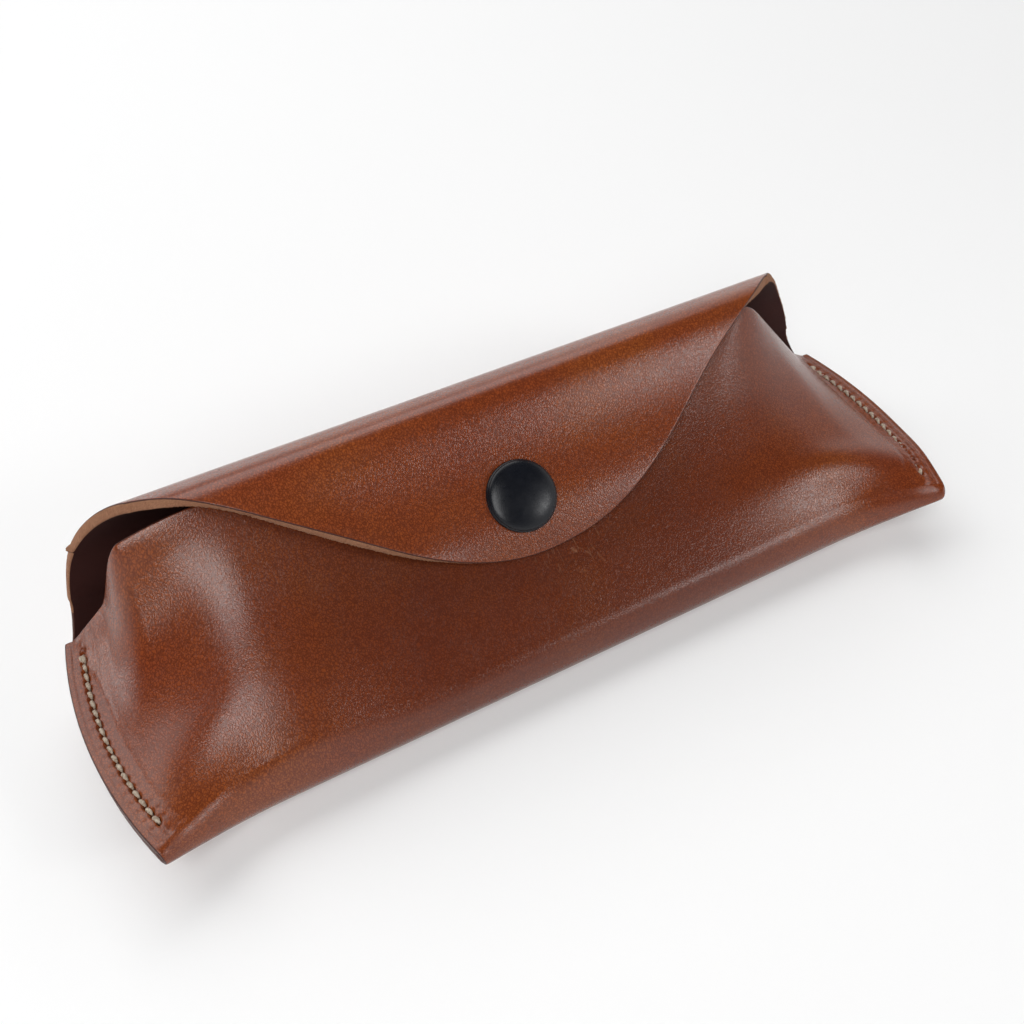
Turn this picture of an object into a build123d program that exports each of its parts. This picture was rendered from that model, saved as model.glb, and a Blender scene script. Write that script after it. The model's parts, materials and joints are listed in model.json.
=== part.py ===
"""Moulded leather sunglasses case with a bent-over flap and a press snap.

The case lies on its back panel. X runs along its length, -Y is the folded
edge, +Y is the mouth with the flap's bend, and +Z is up. The origin lies on
the surface that the case rests on, below the middle of the case. Millimetres.
"""

import os
from math import asin, atan2, cos, degrees, hypot, radians, sin

from build123d import *

# Leather blank: front panel, fold, back panel and flap are one piece
leather = 1.8
layer_gap = 0.15

# Plan outline of the sewn ends
half_width_fold = 75.0
half_width_middle = 80.0
half_width_mouth = 78.2
half_width_lip = 74.9
half_depth = 25.6
seam_mouth_y = 18.8
seam_height = 11.0
flap_notch = 0.6

# Rounded fold at the middle of the case
fold_radius = 6.0
fold_centre_y = -14.4
fold_slope = 35.0

# Front panel at the middle of the case, as (y, z) and slope in degrees
tip_seat = (-7.4, 17.6)
tip_slope = 34.0
snap_seat = (2.0, 24.45)
snap_slope = 39.0
mouth_edge = (15.0, 36.2)
mouth_slope = 43.0

# Where those two seats lie across the flat sewn end, as shares from fold to mouth
tip_share = 0.33
snap_share = 0.67

# Back panel at the middle of the case
belly_drop = 0.5
belly_middle_y = -2.0
belly_end_y = 9.5
lip_bend = (20.5, 4.8)
lip_bend_slope = 45.0

# Back panel where the sewn end turns up into the flap
end_bend_start_y = 19.3
end_bend = (22.6, 11.9)
end_bend_slope = 50.0

# Half lengths at which each line of the pouch starts to swell and is full
mouth_swell = (75.0, 58.0)
snap_swell = (74.5, 51.0)
tip_swell = (74.0, 47.0)
fold_swell = (73.0, 45.0)
belly_swell = (74.0, 45.0)

# Flap, as the outer line of its middle section
lip_axis = (24.8, 18.0)
rear_wall = (25.6, 25.4)
rear_shoulder = (23.6, 32.8)
crest_axis = (18.0, 38.9)
crest_turn = 155.0
crest_top = (13.9, 40.3)
flap_cheek = (7.2, 35.1)
hinge_gap = 0.3
inner_per_outer = 3
snap_stack = 2.6
snap_flat = 4.0
tip_gap = 0.6
tip_overrun = 4.0

# Flap outline as half widths, the front ones at a run up the slope from the snap
rear_outline = ((half_width_lip, lip_axis[1]), (72.3, 25.8), (68.4, 32.6), (61.4, crest_axis[1]))
front_outline = ((61.4, 21.6), (54.0, 18.4), (42.1, 10.9), (32.5, 3.6), (22.0, -3.6), (11.7, -8.4))
tip_reach = 10.2
tip_offset = -1.0

# Press snap, a little left of the middle
snap_offset = -2.6
cap_radius = 6.25
cap_height = 2.3
cap_rim_height = 1.0
cap_post_radius = 1.3
cap_flare_radius = 1.9
cap_flare_height = 0.2
pinched_leather = 1.4
socket_radius = 5.0
socket_mouth_radius = 3.8
socket_roof = 0.45
socket_round = 0.22
spring_wire_radius = 0.25
spring_clearance = 0.1
spring_height = 0.75
stud_base_radius = 4.4
stud_base_height = 0.4
stud_head_radius = 2.7
stud_neck_radius = 2.2
stud_height = 1.7
stud_neck_height = 0.57
stud_bulge_height = 1.13
stud_bore_radius = 1.4
post_radius = 1.2
post_flange_radius = 4.2
post_flange_height = 0.5
post_flange_round = 0.17
post_roll_height = 0.4
snap_clearance = 0.1
rivet_clearance = 0.2

# Seams
stitch_count = 20
stitch_inset = 2.9
stitch_start_y = 15.6
stitch_end_y = -20.2
thread_radius = 0.42
thread_core_radius = 0.25
awl_length = 1.3
awl_width = 0.62
awl_angle = 35.0

# Values that follow from the sizes above
swell_start = mouth_swell[0]
swell_full = min(reach[1] for reach in (mouth_swell, snap_swell, tip_swell, fold_swell, belly_swell))
station_count = 9
end_stations = [swell_full + (swell_start - swell_full) * i / (station_count - 1) for i in range(station_count)]
end_overrun = 8.0
seam_top = seam_height + layer_gap / 2 + leather
seam_half_thickness = seam_top - seam_height
seam_bottom = seam_height - seam_half_thickness
clear_of_case = 100.0
behind_case = half_depth + leather
lip_top = (lip_axis[0], lip_axis[1] - hinge_gap / 2)
pinch = (leather - pinched_leather) / 2


def swell(x, reach):
    """Share of the full swell at a distance x from the middle of the case."""
    start, full = reach
    share = min(max((start - abs(x)) / (start - full), 0.0), 1.0)
    return share * share * (3 - 2 * share)


def mix(flat, full, share):
    return flat + (full - flat) * share


def mix_point(flat, full, share):
    return (mix(flat[0], full[0], share), mix(flat[1], full[1], share))


def heading(slope):
    return (cos(radians(slope)), sin(radians(slope)))


def shifted(point, slope, along, across):
    """Point moved along a slope and across it, to the left of its heading."""
    run, rise = heading(slope)
    return (point[0] + along * run - across * rise, point[1] + along * rise + across * run)


def fold_values(x):
    share = swell(x, fold_swell)
    centre = mix_point(
        (seam_half_thickness - half_depth, seam_height),
        (fold_centre_y, fold_radius - belly_drop),
        share,
    )
    return centre, mix(seam_half_thickness, fold_radius, share), mix(0.0, fold_slope, share)


def front_points(x, depth):
    """Front panel line at a station, from the fold to the mouth, with end slopes."""
    centre, radius, slope = fold_values(x)
    start = shifted(centre, slope, 0, radius - depth)
    flat_start = seam_half_thickness - half_depth
    flat_run = seam_mouth_y - flat_start
    points = [start]
    rows = (
        (flat_start + flat_run * tip_share, tip_seat, tip_slope, tip_swell),
        (flat_start + flat_run * snap_share, snap_seat, snap_slope, snap_swell),
        (seam_mouth_y, mouth_edge, mouth_slope, mouth_swell),
    )
    for flat_y, full, full_slope, reach in rows:
        share = swell(x, reach)
        end_slope = mix(0.0, full_slope, share)
        points.append(shifted(mix_point((flat_y, seam_top), full, share), end_slope, 0, -depth))
    return points, slope, end_slope


def back_points(x, depth):
    """Back panel line at a station: from the fold to the bend, and from there up to the lip."""
    centre, radius, _ = fold_values(x)
    share = swell(x, belly_swell)
    level = mix(seam_bottom, -belly_drop, share)
    bend = mix_point(end_bend, lip_bend, share)
    bend_slope = mix(end_bend_slope, lip_bend_slope, share)
    belly_end = (mix(end_bend_start_y, belly_end_y, share), level + depth)
    belly = [(centre[0], centre[1] - radius + depth), (belly_middle_y, level + depth), belly_end]
    lip = [belly_end, shifted(bend, bend_slope, 0, depth), (lip_top[0] - depth, lip_top[1])]
    return belly, lip


def pouch_section(x):
    """Leather band of the pouch at a station, from the mouth round the fold to the lip."""
    centre, radius, slope = fold_values(x)
    with BuildSketch(Plane.YZ.offset(x)) as section:
        with BuildLine():
            ends = []
            for depth in (0.0, leather):
                front, fold_end_slope, mouth_end_slope = front_points(x, depth)
                belly, lip = back_points(x, depth)
                nose = shifted(centre, 180 + slope / 2, radius - depth, 0)
                Spline(*front, tangents=[heading(fold_end_slope), heading(mouth_end_slope)])
                ThreePointArc(front[0], nose, belly[0])
                Spline(*belly, tangents=[(1, 0), (1, 0)])
                Spline(*lip, tangents=[(1, 0), (0, 1)])
                ends.append((front[-1], lip[-1]))
            Line(ends[0][0], ends[1][0])
            Line(ends[0][1], ends[1][1])
        make_face()
    return section.sketch


def export(builder, name):
    builder.part.label = name
    export_step(builder.part, f"parts/{name}.step")


def seam_arc(inset):
    """Centre and radius of the sewn end's outline in plan, moved in by an inset."""
    edge = Edge.make_three_point_arc(
        (half_width_fold, -half_depth), (half_width_middle, 0), (half_width_mouth, seam_mouth_y)
    )
    return edge.arc_center, edge.radius - inset


def stitch_points():
    """Awl holes of the right seam, evenly spaced, as (x, y) and heading in degrees."""
    centre, radius = seam_arc(stitch_inset)
    first = degrees(asin((stitch_start_y - centre.Y) / radius))
    last = degrees(asin((stitch_end_y - centre.Y) / radius))
    points = []
    for index in range(stitch_count):
        angle = mix(first, last, index / (stitch_count - 1))
        run, rise = heading(angle)
        points.append((centre.X + radius * run, centre.Y + radius * rise, angle + 90))
    return points


# Snap axis, square to the front panel where the stud sits
snap_run, snap_rise = heading(snap_slope)
snap_normal = Vector(0, -snap_rise, snap_run)
snap_foot = Vector(snap_offset, snap_seat[0], snap_seat[1])
snap_axis = Axis(snap_foot, snap_normal)
snap_section = Plane(origin=snap_foot, x_dir=(1, 0, 0), z_dir=(0, -snap_run, -snap_rise))
front_face_seat = -pinch
flesh_face_seat = -leather + pinch
socket_face_seat = snap_stack + pinch
cap_face_seat = snap_stack + leather - pinch
punch_start = -2 * leather
punch_run = 3 * leather


def snap_plane(height):
    return Plane(origin=snap_foot + snap_normal * height, x_dir=(1, 0, 0), z_dir=snap_normal)


os.makedirs("parts", exist_ok=True)
holes = stitch_points()

with BuildPart() as pouch:
    for x in end_stations:
        add(pouch_section(x))
    loft()
    add(pouch_section(swell_start))
    extrude(amount=end_overrun, dir=(1, 0, 0))
    mirror(about=Plane.YZ)
    add(pouch_section(swell_full))
    extrude(amount=2 * swell_full, dir=(-1, 0, 0))
    # Plan outline, cut off level where the case rests
    with BuildSketch() as plan:
        with BuildLine():
            fold_corner = (half_width_fold, -half_depth)
            seam_corner = (half_width_mouth, seam_mouth_y)
            notch = (half_width_mouth, seam_mouth_y + flap_notch)
            lip_corner = (half_width_lip, half_depth)
            ThreePointArc(fold_corner, (half_width_middle, 0), seam_corner)
            Polyline(seam_corner, notch, lip_corner, (0, half_depth))
            Polyline((0, -2 * half_depth), (half_width_fold, -2 * half_depth), fold_corner)
            mirror(about=Plane.YZ)
        make_face()
    extrude(amount=clear_of_case, mode=Mode.INTERSECT)
    # Slanted awl holes of both seams
    with BuildSketch():
        for side in (1, -1):
            for x, y, turn in holes:
                with Locations(Location((side * x, y, 0), (0, 0, side * turn))):
                    SlotOverall(awl_length, awl_width, rotation=side * awl_angle)
    extrude(amount=clear_of_case, mode=Mode.SUBTRACT)
    # Leather pinched flat round the stud and the post, with the post's hole
    with BuildSketch(snap_plane(front_face_seat)):
        Circle(stud_base_radius + snap_clearance)
    extrude(amount=leather, mode=Mode.SUBTRACT)
    with BuildSketch(snap_plane(flesh_face_seat)):
        Circle(post_flange_radius + snap_clearance)
    extrude(amount=-leather, mode=Mode.SUBTRACT)
    with BuildSketch(snap_plane(punch_start)):
        Circle(post_radius + rivet_clearance)
    extrude(amount=punch_run, mode=Mode.SUBTRACT)
export(pouch, "pouch")


def flap_band(points, start_heading, end_heading):
    """Closed section of the flap's leather below an outer line given by its points."""
    outer = Edge.make_spline(
        [Vector(y, z) for y, z in points], tangents=[Vector(*start_heading), Vector(*end_heading)]
    )
    inner_points = []
    inner_count = inner_per_outer * len(points)
    for index in range(inner_count):
        share = index / (inner_count - 1)
        point, along = outer @ share, outer % share
        inner_points.append((point.X - leather * along.Y, point.Y + leather * along.X))
    with BuildSketch(Plane.YZ.offset(-half_width_middle)) as band:
        with BuildLine():
            Spline(*points, tangents=[start_heading, end_heading])
            Spline(*inner_points, tangents=[start_heading, end_heading])
            Line(points[0], inner_points[0])
            Line(points[-1], inner_points[-1])
        make_face()
    return band.sketch


crest_heading = heading(crest_turn)
crest_rear = shifted(crest_axis, crest_turn, -hinge_gap / 2, 0)
crest_front = shifted(crest_axis, crest_turn, hinge_gap / 2, 0)
lip_bottom = (lip_axis[0], lip_axis[1] + hinge_gap / 2)
flap_snap = shifted(snap_seat, snap_slope, 0, snap_stack + leather)
flap_tip = shifted(tip_seat, tip_slope, 0, tip_gap + leather)
tip_heading_slope = degrees(atan2(flap_snap[1] - flap_tip[1], flap_snap[0] - flap_tip[0])) + 180

with BuildPart() as flap_rear:
    add(flap_band([lip_bottom, rear_wall, rear_shoulder, crest_rear], (0, 1), crest_heading))
    extrude(amount=2 * half_width_middle, dir=(1, 0, 0))
    with BuildSketch(Plane.XZ.offset(-behind_case)):
        with BuildLine():
            Spline(*rear_outline)
            Line(rear_outline[-1], (rear_outline[-1][0], clear_of_case))
            Line((rear_outline[-1][0], clear_of_case), (0, clear_of_case))
            Line(rear_outline[0], (rear_outline[0][0], 0))
            Line((rear_outline[0][0], 0), (0, 0))
            mirror(about=Plane.YZ)
        make_face()
    extrude(amount=clear_of_case, mode=Mode.INTERSECT)
export(flap_rear, "flap_rear")

with BuildPart() as flap_front:
    front_line = [
        crest_front,
        crest_top,
        flap_cheek,
        shifted(flap_snap, snap_slope, snap_flat, 0),
        shifted(flap_snap, snap_slope, -snap_flat, 0),
        flap_tip,
        shifted(flap_tip, tip_heading_slope, tip_overrun, 0),
    ]
    add(flap_band(front_line, crest_heading, heading(tip_heading_slope)))
    extrude(amount=2 * half_width_middle, dir=(1, 0, 0))
    with BuildSketch(snap_plane(-clear_of_case)):
        with BuildLine():
            tip = (tip_offset - snap_offset, -tip_reach)
            right = [(x - snap_offset, run) for x, run in front_outline]
            left = [(-x - snap_offset, run) for x, run in front_outline]
            Spline(*right, tip, tangents=[(-1, -1), (-1, 0)])
            Spline(*left, tip, tangents=[(1, -1), (1, 0)])
            top_run = right[0][1] + half_depth
            Polyline(right[0], (right[0][0], top_run), (left[0][0], top_run), left[0])
        make_face()
    extrude(amount=2 * clear_of_case, mode=Mode.INTERSECT)
    # Leather pinched flat between the cap and the socket, with the rivet's hole
    with BuildSketch(snap_plane(cap_face_seat)):
        Circle(cap_radius + snap_clearance)
    extrude(amount=leather, mode=Mode.SUBTRACT)
    with BuildSketch(snap_plane(socket_face_seat)):
        Circle(socket_radius + snap_clearance)
    extrude(amount=-leather, mode=Mode.SUBTRACT)
    with BuildSketch(snap_plane(snap_stack - leather)):
        Circle(cap_post_radius + rivet_clearance)
    extrude(amount=punch_run, mode=Mode.SUBTRACT)
export(flap_front, "flap_front")


with BuildPart() as snap_cap:
    with BuildSketch(snap_section):
        with BuildLine():
            rim = (cap_radius, cap_face_seat + cap_rim_height)
            crown = (0, cap_face_seat + cap_height)
            dome_height = cap_height - cap_rim_height
            dome_radius = (cap_radius**2 + dome_height**2) / (2 * dome_height)
            flare_top = socket_face_seat - socket_roof
            RadiusArc(rim, crown, -dome_radius)
            Polyline(
                crown,
                (0, flare_top - cap_flare_height),
                (cap_flare_radius, flare_top - cap_flare_height),
                (cap_flare_radius, flare_top),
                (cap_post_radius, flare_top),
                (cap_post_radius, cap_face_seat),
                (cap_radius, cap_face_seat),
                rim,
            )
        make_face()
    revolve(axis=snap_axis)
export(snap_cap, "snap_cap")

socket_mouth = front_face_seat + stud_base_height + snap_clearance
with BuildPart() as snap_socket:
    with BuildSketch(snap_plane(socket_mouth)):
        Circle(socket_radius)
    extrude(amount=socket_face_seat - socket_mouth)
    with BuildSketch(snap_plane(socket_mouth)):
        Circle(socket_mouth_radius)
    extrude(amount=socket_face_seat - socket_roof - socket_mouth, mode=Mode.SUBTRACT)
    with BuildSketch(snap_plane(socket_mouth)):
        Circle(cap_post_radius)
    extrude(amount=socket_face_seat - socket_mouth, mode=Mode.SUBTRACT)
    fillet(snap_socket.faces().sort_by(snap_axis)[0].edges(), socket_round)
export(snap_socket, "snap_socket")

with BuildPart() as socket_spring:
    wire_offset = stud_head_radius + spring_clearance + spring_wire_radius
    wire_reach = (socket_mouth_radius**2 - (wire_offset + spring_wire_radius) ** 2) ** 0.5
    wire_start = Vector(0, -snap_run, -snap_rise) * wire_reach
    wire_plane = Plane(
        origin=snap_foot + snap_normal * spring_height + wire_start,
        x_dir=(1, 0, 0),
        z_dir=(0, snap_run, snap_rise),
    )
    with BuildSketch(wire_plane):
        with Locations((wire_offset, 0), (-wire_offset, 0)):
            Circle(spring_wire_radius)
    extrude(amount=2 * wire_reach)
export(socket_spring, "socket_spring")

stud_base_top = front_face_seat + stud_base_height
stud_top = stud_base_top + stud_height
with BuildPart() as snap_stud:
    with BuildSketch(snap_section):
        with BuildLine():
            head_low = (stud_neck_radius, stud_base_top + stud_neck_height)
            head_high = (stud_neck_radius, stud_top)
            head_middle = (stud_head_radius, stud_base_top + stud_bulge_height)
            ThreePointArc(head_low, head_middle, head_high)
            Polyline(
                head_high,
                (stud_bore_radius, stud_top),
                (stud_bore_radius, front_face_seat),
                (stud_base_radius, front_face_seat),
                (stud_base_radius, stud_base_top),
                (stud_neck_radius, stud_base_top),
                head_low,
            )
        make_face()
    revolve(axis=snap_axis)
export(snap_stud, "snap_stud")

with BuildPart() as snap_post:
    with BuildSketch(snap_plane(flesh_face_seat)):
        Circle(post_flange_radius)
    extrude(amount=-post_flange_height)
    with BuildSketch(snap_plane(flesh_face_seat)):
        Circle(post_radius)
    extrude(amount=stud_top - snap_clearance - flesh_face_seat)
    # Rolled end that grips the stud's bore
    with BuildSketch(snap_plane(stud_top - snap_clearance - post_roll_height)):
        Circle(stud_bore_radius)
    extrude(amount=post_roll_height)
    fillet(snap_post.faces().sort_by(snap_axis)[0].edges(), post_flange_round)
export(snap_post, "snap_post")


def stitching(side):
    """Saddle stitch through the awl holes of one end: a line of thread on each face."""
    top = seam_top + thread_radius
    bottom = seam_bottom - thread_radius
    with BuildPart() as thread:
        for x, y, _ in holes:
            with Locations((side * x, y, bottom)):
                Cylinder(thread_core_radius, top - bottom, align=(Align.CENTER, Align.CENTER, Align.MIN))
        for level in (top, bottom):
            for start, end in zip(holes, holes[1:]):
                span = hypot(end[0] - start[0], end[1] - start[1])
                along = Vector(side * (end[0] - start[0]), end[1] - start[1], 0)
                with BuildSketch(Plane(origin=(side * start[0], start[1], level), z_dir=along)):
                    Circle(thread_radius)
                extrude(amount=span)
            for x, y, _ in holes:
                with Locations((side * x, y, level)):
                    Sphere(thread_radius)
    return thread


export(stitching(-1), "left_stitching")
export(stitching(1), "right_stitching")
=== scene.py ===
"""Looks of a moulded leather sunglasses case with sewn ends, a bent-over flap and a press snap.

Shapes are worked out in millimetres in the case's own frame and turned into metres when a mesh is made.
X runs along the case, -Y is the folded edge, +Y the mouth, and +Z is up.
"""

import json
import math

import bpy
import numpy as np
from mathutils import Matrix, Vector


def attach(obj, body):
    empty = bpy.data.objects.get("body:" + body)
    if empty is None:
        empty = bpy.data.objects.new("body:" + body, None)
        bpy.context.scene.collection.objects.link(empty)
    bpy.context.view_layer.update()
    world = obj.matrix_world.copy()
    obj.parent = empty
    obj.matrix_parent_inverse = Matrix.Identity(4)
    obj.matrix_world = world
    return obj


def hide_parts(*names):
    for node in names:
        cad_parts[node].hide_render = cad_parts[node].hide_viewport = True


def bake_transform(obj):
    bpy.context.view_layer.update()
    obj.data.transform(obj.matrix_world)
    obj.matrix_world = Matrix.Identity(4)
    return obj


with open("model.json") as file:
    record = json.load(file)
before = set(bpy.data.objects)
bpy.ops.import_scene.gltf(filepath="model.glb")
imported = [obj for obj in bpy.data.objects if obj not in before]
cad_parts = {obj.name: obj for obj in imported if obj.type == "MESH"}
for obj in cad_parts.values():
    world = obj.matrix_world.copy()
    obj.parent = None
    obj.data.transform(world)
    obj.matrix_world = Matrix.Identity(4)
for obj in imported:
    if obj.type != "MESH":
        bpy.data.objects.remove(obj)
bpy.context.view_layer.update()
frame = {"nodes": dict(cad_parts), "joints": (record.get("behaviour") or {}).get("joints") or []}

MM = 0.001
UV_UNIT = 100.0
rng = np.random.default_rng(7)

# Leather
THICKNESS = 1.8
RIM = 0.3
FRAY = 0.07
LAYER_GAP = 0.15

# Sewn ends, seen from above
FOLD_HALF_WIDTH = 75.0
MIDDLE_HALF_WIDTH = 80.0
MOUTH_HALF_WIDTH = 78.2
LIP_HALF_WIDTH = 74.9
HALF_DEPTH = 25.6
SEAM_MOUTH_Y = 18.8
SEAM_HEIGHT = 11.0
NOTCH_Y = 19.4

# Middle section of the pouch, as (y, z) and slopes in degrees
FOLD_CENTRE = (-14.4, 5.5)
FOLD_RADIUS = 6.0
FOLD_SLOPE = 35.0
TIP_SEAT = (-7.4, 17.6)
SNAP_SEAT = (2.0, 24.45)
MOUTH_EDGE = (15.0, 36.2)
MOUTH_SLOPE = 43.0
BELLY_LEVEL = -0.5
BELLY_END_Y = 9.5
LIP_BEND = (20.5, 4.8)

# Back panel's section at the sewn ends
END_BEND_START_Y = 19.3
END_BEND = (22.6, 11.9)

# Flap's middle section, as (y, z), and its outline
LIP_AXIS = tuple(value / MM for value in frame["joints"][0]["pos_m"][1:])
CREST_AXIS = tuple(value / MM for value in frame["joints"][1]["pos_m"][1:])
REAR_WALL = (25.6, 25.4)
REAR_SHOULDER = (23.6, 32.8)
CREST_TURN = 155.0
CREST_TOP = (13.9, 40.3)
FLAP_CHEEK = (7.2, 35.1)
SNAP_SLOPE = 39.0
SNAP_STACK = 2.6
SNAP_FLAT = 4.0
TIP_SLOPE = 34.0
TIP_GAP = 0.6
TIP_OVERRUN = 4.0
REAR_OUTLINE = ((74.9, 18.0), (72.3, 25.8), (68.4, 32.6), (61.4, 38.9))
REAR_HEADINGS = ((-0.25, 1), (-1, 0.62))
FRONT_OUTLINE = ((61.4, 21.6), (54.0, 18.4), (42.1, 10.9), (32.5, 3.6), (22.0, -3.6), (11.7, -8.4))
FRONT_HEADINGS = ((-1, -0.25), (-1, 0))
TIP_REACH = 10.2
TIP_OFFSET = -1.0
SNAP_OFFSET = -2.6

# Length from the lip to where the flap's two pieces meet
SPLIT_LENGTH = 9.5

# Left edge of the flap, which stands off the pouch
EDGE_LIFT = 2.6
EDGE_LIFT_X = -36.0
EDGE_LIFT_SPREAD = 14.0
EDGE_LIFT_POWER = 5

# Ends of the pouch: mark, x of foot, knee, shoulder and ridge, share at knee and shoulder, ridge's rounding
LEFT_END = (
    (0.0, 76.6, 69.9, 66.2, 57.0, 0.31, 0.88, 6.0),
    (0.12, 76.0, 70.6, 66.6, 54.5, 0.25, 0.72, 6.0),
    (0.25, 75.6, 72.0, 67.0, 53.2, 0.17, 0.55, 5.0),
    (0.40, 75.2, 73.0, 68.6, 53.6, 0.11, 0.38, 4.6),
    (0.62, 74.8, 73.2, 70.0, 54.5, 0.08, 0.27, 4.2),
    (0.80, 74.6, 73.2, 71.0, 58.0, 0.10, 0.30, 4.0),
    (1.0, 74.4, 73.4, 71.6, 61.0, 0.10, 0.30, 5.0),
    (2.0, 74.2, 73.0, 70.5, 60.0, 0.08, 0.28, 6.0),
    (2.5, 74.0, 71.0, 66.0, 52.0, 0.06, 0.25, 7.0),
    (4.0, 74.0, 71.0, 66.0, 52.0, 0.06, 0.25, 7.0),
)
RIGHT_END = (
    (0.0, 76.8, 73.6, 62.9, 55.5, 0.09, 0.63, 3.0),
    (0.12, 76.2, 74.0, 62.5, 53.0, 0.08, 0.62, 5.0),
    (0.25, 75.6, 73.6, 64.0, 50.0, 0.09, 0.55, 7.0),
    (0.40, 75.2, 73.4, 65.0, 48.0, 0.10, 0.50, 8.0),
    (0.62, 74.8, 73.2, 66.5, 50.0, 0.09, 0.42, 8.0),
    (0.80, 74.6, 73.2, 69.0, 55.0, 0.09, 0.36, 7.0),
    (1.0, 74.4, 73.4, 71.0, 60.0, 0.10, 0.34, 6.0),
    (2.0, 74.2, 73.0, 70.5, 60.0, 0.08, 0.30, 6.0),
    (2.5, 74.0, 71.0, 66.0, 52.0, 0.06, 0.25, 7.0),
    (4.0, 74.0, 71.0, 66.0, 52.0, 0.06, 0.25, 7.0),
)
FOOT_ROUNDING = 0.9
SHOULDER_ROUNDING = 1.6

# Rises of the front before the fold: height, x and mark, and how far it spreads in each
RISES = ((2.6, -50.0, 0.84, 13.0, 0.36), (1.8, 58.0, 0.80, 18.0, 0.13))

# Seams
STITCH_COUNT = 20
STITCH_INSET = 2.9
STITCH_START_Y = 15.6
STITCH_END_Y = -20.2
AWL_ANGLE = 35.0

# Creases along a seam: inset from the outline, depth and width
EDGE_CREASE = (1.25, 0.16, 0.16)
THREAD_TRENCH = (STITCH_INSET, 0.20, 0.50)
INNER_CREASE = (5.0, 0.09, 0.50)
CREASE_WAVES = ((0.15, 0.55, 0.0), (0.10, 1.7, 1.0))
MARKED_FROM_Y = -22.5
MARKED_TO_Y = 17.0
MARKED_FADE = 1.0

# Awl holes, and dents beside the thread: distance outwards, width and share of the depth
HOLE_DEPTH = 1.1
HOLE_LENGTH = 0.46
HOLE_WIDTH = 0.27
DENT_DEPTH = 0.10
DENT_RUN = (0.35, 0.42)
DENTS = ((1.15, 0.40, 1.0), (-1.1, 0.30, 0.7))

# Stitches, from hole to hole as shares of the pitch, and their thread
THREAD_RADIUS = 0.33
STITCH_FROM = 0.15
STITCH_TO = 0.85
STITCH_SLANT = 0.14
STITCH_DIVE = -0.62
STITCH_CROWN = 0.60
STITCH_THIN = 0.62
STITCH_PLUMP = 0.42
END_STITCH_PLUMP = 1.12
STITCH_LIFT_RANGE = 0.03
STITCH_PLUMP_RANGE = (0.92, 1.04)
SECOND_THREAD_ASIDE = 0.42
SECOND_THREAD_SUNK = 0.10
SECOND_THREAD_SHARE = 0.9
PLIES = 2
PLY_DEPTH = 0.10
PLY_TWIST = 0.42

# Snap, as heights above the front panel's outer side and radii
CAP_RADIUS = 6.25
CAP_SEAT = 4.2
CAP_TOP = 6.5
CAP_ROLL = 0.55
ROLL_ANGLES = (-90, 62)
DOME_ANGLES = (3, 90)
CAP_POST = ((0.01, 2.15), (1.9, 2.15), (1.9, 2.35), (1.3, 2.35), (1.3, CAP_SEAT))

# Camera, as the photograph was taken, in metres
CAMERA_AT = (-0.06553, -0.11251, 0.16006)
CAMERA_RIGHT = (0.8747, -0.4846, -0.0046)
CAMERA_UP = (0.3554, 0.6351, 0.6858)
CAMERA_BACK = (-0.3294, -0.6015, 0.7278)
CAMERA_LENS = 38.67
SENSOR = 36.0
CLIP_START = 0.01

# Rows, columns and rings of the meshes
FRONT_ROWS, FOLD_ROWS, BACK_ROWS, WALL_ROWS = 170, 40, 70, 34
POUCH_WALL_ROWS = 24
WALL_SPLIT_ROW = FRONT_ROWS + FOLD_ROWS + BACK_ROWS + POUCH_WALL_ROWS
COLUMN_FINE = 0.22
COLUMN_COARSE = 0.85
COLUMN_FINE_BAND = 15.0
REAR_ROWS = 20
FLAP_ROWS = 120
FLAP_COLUMNS = 900
CURVE_POINTS = 60
STITCH_RINGS = 17
STITCH_SIDES = 14
LATHE_SIDES = 96


# Curves

def heading(slope):
    return np.array((math.cos(math.radians(slope)), math.sin(math.radians(slope))))


def left_of(slope):
    return np.array((-math.sin(math.radians(slope)), math.cos(math.radians(slope))))


def hermite(u, start, start_slope, end, end_slope):
    """Cubic from start to end, with the slopes over the whole step, at shares u of it."""
    return (
        (2 * u**3 - 3 * u**2 + 1) * start
        + (u**3 - 2 * u**2 + u) * start_slope
        + (3 * u**2 - 2 * u**3) * end
        + (u**3 - u**2) * end_slope
    )


def spline(points, start, end, count=200):
    """Evenly spaced points on a cubic spline with given end headings."""
    knots = np.array(points, float)
    steps = np.linalg.norm(np.diff(knots, axis=0), axis=1)
    size = len(knots)
    matrix = np.zeros((size, size))
    right = np.zeros((size, 2))
    matrix[0, 0] = matrix[-1, -1] = 1
    right[0], right[-1] = start, end
    for i in range(1, size - 1):
        before, after = steps[i - 1], steps[i]
        here, onward = knots[i] - knots[i - 1], knots[i + 1] - knots[i]
        matrix[i, i - 1 : i + 2] = after, 2 * (before + after), before
        right[i] = 3 * (after * here / before + before * onward / after)
    slopes = np.linalg.solve(matrix, right)
    dense = []
    for i, step in enumerate(steps):
        u = np.linspace(0, 1, CURVE_POINTS, endpoint=i == size - 2)[:, None]
        dense.append(hermite(u, knots[i], step * slopes[i], knots[i + 1], step * slopes[i + 1]))
    return resampled(np.concatenate(dense), count)


def arc(centre, radius, first, last):
    angles = np.radians(np.linspace(first, last, CURVE_POINTS))
    return np.array(centre) + radius * np.stack((np.cos(angles), np.sin(angles)), axis=1)


def line(start, end):
    return np.linspace(start, end, CURVE_POINTS)


def run_lengths(points):
    return np.concatenate(([0.0], np.cumsum(np.linalg.norm(np.diff(points, axis=0), axis=1))))


def at_lengths(points, lengths):
    along = run_lengths(points)
    return np.stack([np.interp(lengths, along, points[:, k]) for k in range(points.shape[1])], axis=1)


def resampled(points, count):
    return at_lengths(points, np.linspace(0, run_lengths(points)[-1], count))


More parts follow.
